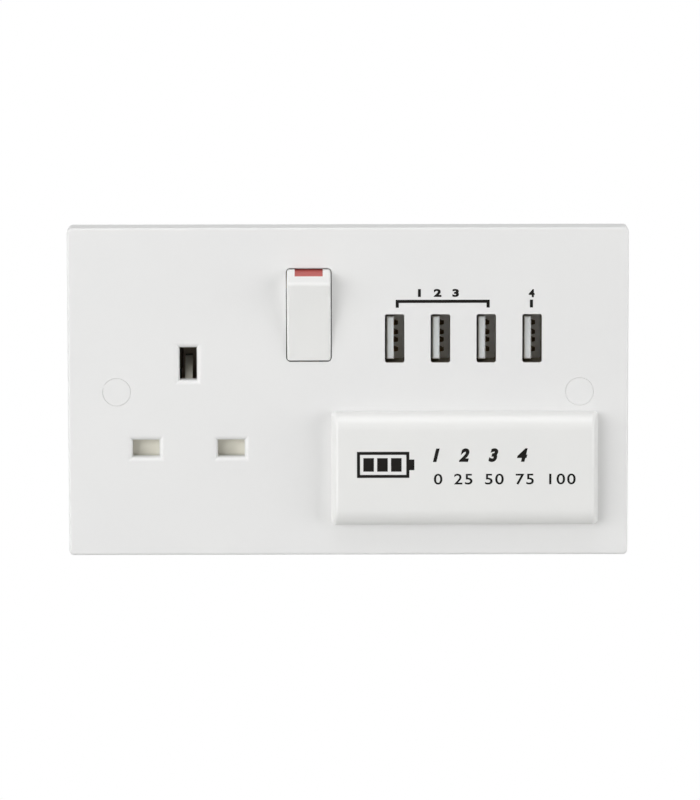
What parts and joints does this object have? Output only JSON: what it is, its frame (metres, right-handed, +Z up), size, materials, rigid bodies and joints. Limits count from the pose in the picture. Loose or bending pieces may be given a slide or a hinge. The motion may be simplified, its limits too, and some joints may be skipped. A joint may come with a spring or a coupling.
{
  "type": "usb wall socket",
  "caption": "White double wall plate with a switched three-pin socket, a row of charging ports and a raised charger cover.",
  "frame": {"origin": "centre of the plate's rear rim plane, midway between the two fixing holes", "axes": "+X to the right and +Z up seen from the front, +Y into the wall"},
  "size_m": [0.146, 0.0321, 0.086],
  "materials": {
    "plate_white": "satin",
    "rocker_white": "satin",
    "flag_red": "satin",
    "shutter_white": "matt",
    "spring_steel": "drawn wire",
    "copper_strip": "rolled",
    "contact_silver": "polished",
    "brass_strip": "rolled",
    "terminal_brass": "extruded and sawn",
    "screw_steel": "zinc plated",
    "base_grey": "moulded",
    "board_green": "solder mask",
    "bobbin_black": "moulded",
    "ferrite_grey": "sintered",
    "tape_yellow": "film tape",
    "can_sleeve": "shrink sleeve",
    "film_box": "moulded",
    "fuse_body": "moulded",
    "lead_brown": "extruded",
    "lead_blue": "extruded",
    "shell_steel": "nickel plated",
    "tongue_white": "moulded",
    "pin_plated": "plated"
  },
  "bodies": {
    "housing": {"front_plate": "plate_white", "screw_cap_left": "plate_white", "screw_cap_right": "plate_white", "fixed_tip": "contact_silver", "shutter_spring": "spring_steel", "line_contact": "brass_strip", "neutral_contact": "brass_strip", "earth_contact": "brass_strip", "feed_strip": "brass_strip", "terminal_screws": "screw_steel", "socket_base": "base_grey", "base_screws": "screw_steel", "charger_cover": "plate_white", "charger_back": "base_grey", "charger_screws": "screw_steel", "charger_board": "board_green", "transformer_bobbin": "bobbin_black", "transformer_core": "ferrite_grey", "transformer_winding": "tape_yellow", "bulk_capacitors": "can_sleeve", "output_capacitors": "can_sleeve", "film_capacitor": "film_box", "fuse": "fuse_body", "control_chips": "bobbin_black", "line_lead": "lead_brown", "neutral_lead": "lead_blue", "line_terminal": "terminal_brass", "neutral_terminal": "terminal_brass", "earth_1_terminal": "terminal_brass", "earth_2_terminal": "terminal_brass", "usb_shell_1": "shell_steel", "usb_tongue_1": "tongue_white", "usb_pins_1": "pin_plated", "usb_shell_2": "shell_steel", "usb_tongue_2": "tongue_white", "usb_pins_2": "pin_plated", "usb_shell_3": "shell_steel", "usb_tongue_3": "tongue_white", "usb_pins_3": "pin_plated", "usb_shell_4": "shell_steel", "usb_tongue_4": "tongue_white", "usb_pins_4": "pin_plated"},
    "rocker": {"rocker": "rocker_white", "rocker_flag": "flag_red", "rocker_plunger": "shutter_white", "plunger_spring": "spring_steel"},
    "bridge": {"switch_bridge": "copper_strip", "moving_tip": "contact_silver"},
    "shutter": {"shutter": "shutter_white"}
  },
  "joints": [
    {"name": "rocker_tilt", "type": "hinge", "parent": "housing", "child": "rocker", "pos_m": [-0.01016, -0.006, 0.02015], "axis": [1, 0, 0], "range_deg": [-14, 0]},
    {"name": "bridge_tilt", "type": "hinge", "parent": "housing", "child": "bridge", "pos_m": [-0.01016, 0.00613, 0.02015], "axis": [1, 0, 0], "range_deg": [0, 12]},
    {"name": "shutter_slide", "type": "slide", "parent": "housing", "child": "shutter", "axis": [0, 0, -1], "range_m": [0, 0.006], "stiffness_N_per_m": 100, "springref_m": -0.003, "deforming": ["shutter_spring"]}
  ],
  "couplings": [
    {"joint": "bridge_tilt", "follows": "rocker_tilt", "ratio": -0.857}
  ]
}
